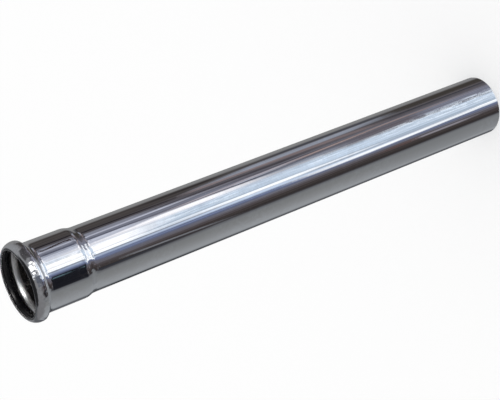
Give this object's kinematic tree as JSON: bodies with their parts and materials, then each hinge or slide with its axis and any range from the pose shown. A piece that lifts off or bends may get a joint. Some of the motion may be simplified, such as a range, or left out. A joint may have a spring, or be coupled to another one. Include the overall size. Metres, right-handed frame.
{
  "type": "flush pipe extension",
  "caption": "Chrome-plated flush pipe extension: a straight thin-walled tube with a plain end, and a socket whose rolled bead holds a rubber sealing ring.",
  "frame": {"origin": "centre of the plain end, on the surface that the part stands on", "axes": "+Z along the pipe's axis, from the plain end up to the mouth of the socket"},
  "size_m": [0.034, 0.034, 0.25],
  "materials": {
    "chrome_plate": "bright polished plate",
    "black_rubber": "smooth semi-gloss"
  },
  "bodies": {
    "root": {"pipe": "chrome_plate", "seal_ring": "black_rubber"}
  },
  "joints": []
}
